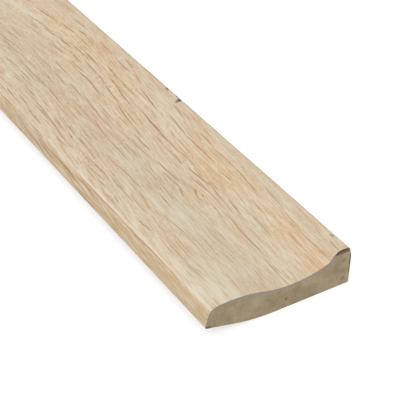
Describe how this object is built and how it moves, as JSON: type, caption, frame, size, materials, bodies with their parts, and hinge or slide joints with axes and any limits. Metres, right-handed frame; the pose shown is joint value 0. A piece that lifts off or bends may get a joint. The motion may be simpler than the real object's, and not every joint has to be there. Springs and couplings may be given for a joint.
{
  "type": "parquet skirting board",
  "caption": "Skirting board for parquet floors: moulded fibreboard core with oak veneer over its hollowed face, rounded nose and thick floor edge, one full length lying on its back",
  "frame": {"origin": "middle of the flat back, on the surface the board lies on", "axes": "+X along the board towards the end that the picture shows, +Y across it from the nose to the floor edge, +Z from the back to the face"},
  "size_m": [2.4, 0.06, 0.015],
  "materials": {
    "fibreboard": "raw medium density fibreboard",
    "oak": "pale oak veneer with a thin matt lacquer"
  },
  "bodies": {
    "root": {"mdf_core": "fibreboard", "oak_veneer": "oak"}
  },
  "joints": []
}
